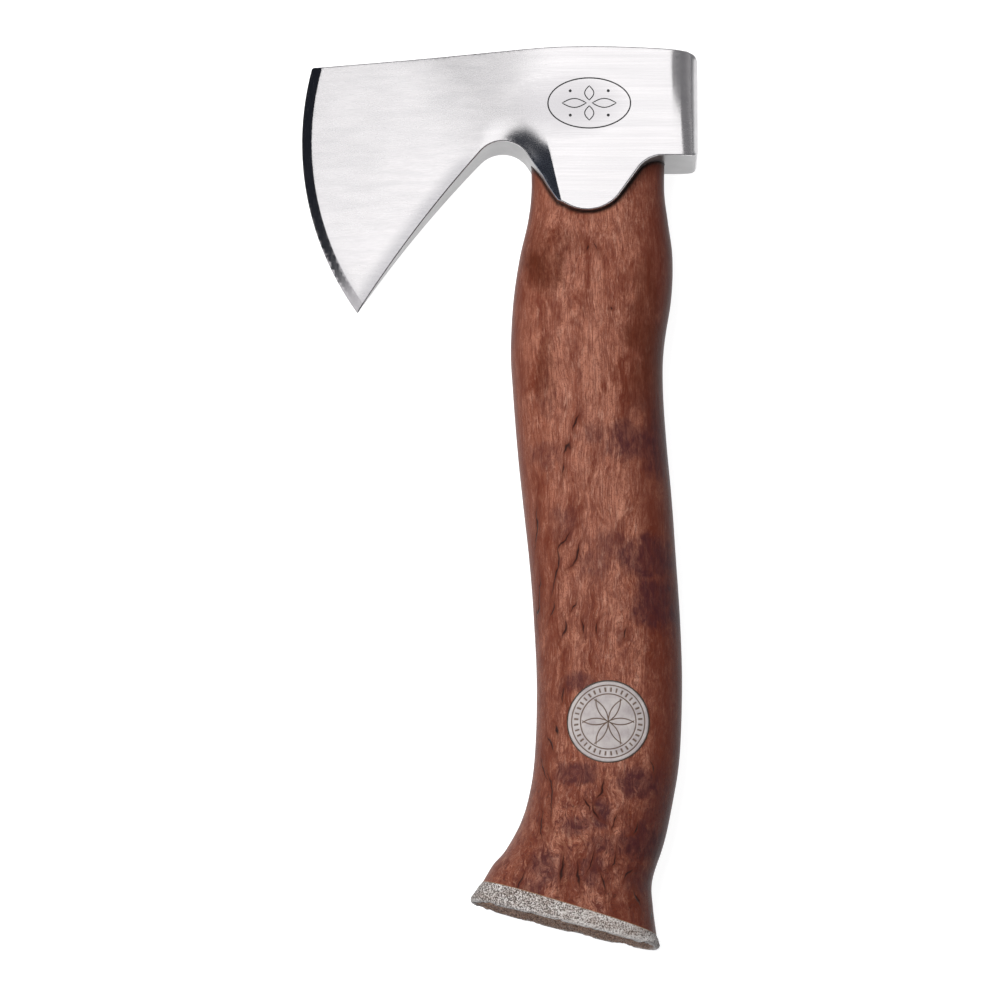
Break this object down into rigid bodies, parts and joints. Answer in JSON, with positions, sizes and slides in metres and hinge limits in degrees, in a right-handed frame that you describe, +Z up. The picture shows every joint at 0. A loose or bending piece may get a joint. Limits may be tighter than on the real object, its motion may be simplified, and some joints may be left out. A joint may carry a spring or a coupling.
{
  "type": "hatchet",
  "caption": "Small hatchet with a bearded ground steel head, a curved curly-birch handle, an inlaid antler disc and an antler butt cap.",
  "frame": {"origin": "centre of the bounding box's bottom face: the plane that the lower cheek and the butt cap touch when the hatchet lies level on its side", "axes": "+Z up, square to the blade's mid-plane; +Y from the butt to the head along the handle; the bit points to -X and the poll to +X"},
  "size_m": [0.1086, 0.2471, 0.026],
  "materials": {
    "head_steel": "satin, ground crosswise",
    "birch": "stained and oiled curly birch",
    "wedge_wood": "bare end grain, oiled",
    "wedge_steel": "dull",
    "antler_disc": "smooth sanded antler",
    "antler_cap": "granular antler with a smooth chamfer",
    "glue": "dark hardened glue",
    "dowel_wood": "bare"
  },
  "bodies": {
    "root": {"head": "head_steel", "handle": "birch", "eye_wedge": "wedge_wood", "steel_wedge": "wedge_steel", "inlay_disc": "antler_disc", "disc_glue": "glue", "butt_cap": "antler_cap", "cap_glue": "glue", "butt_dowels": "dowel_wood"}
  },
  "joints": []
}
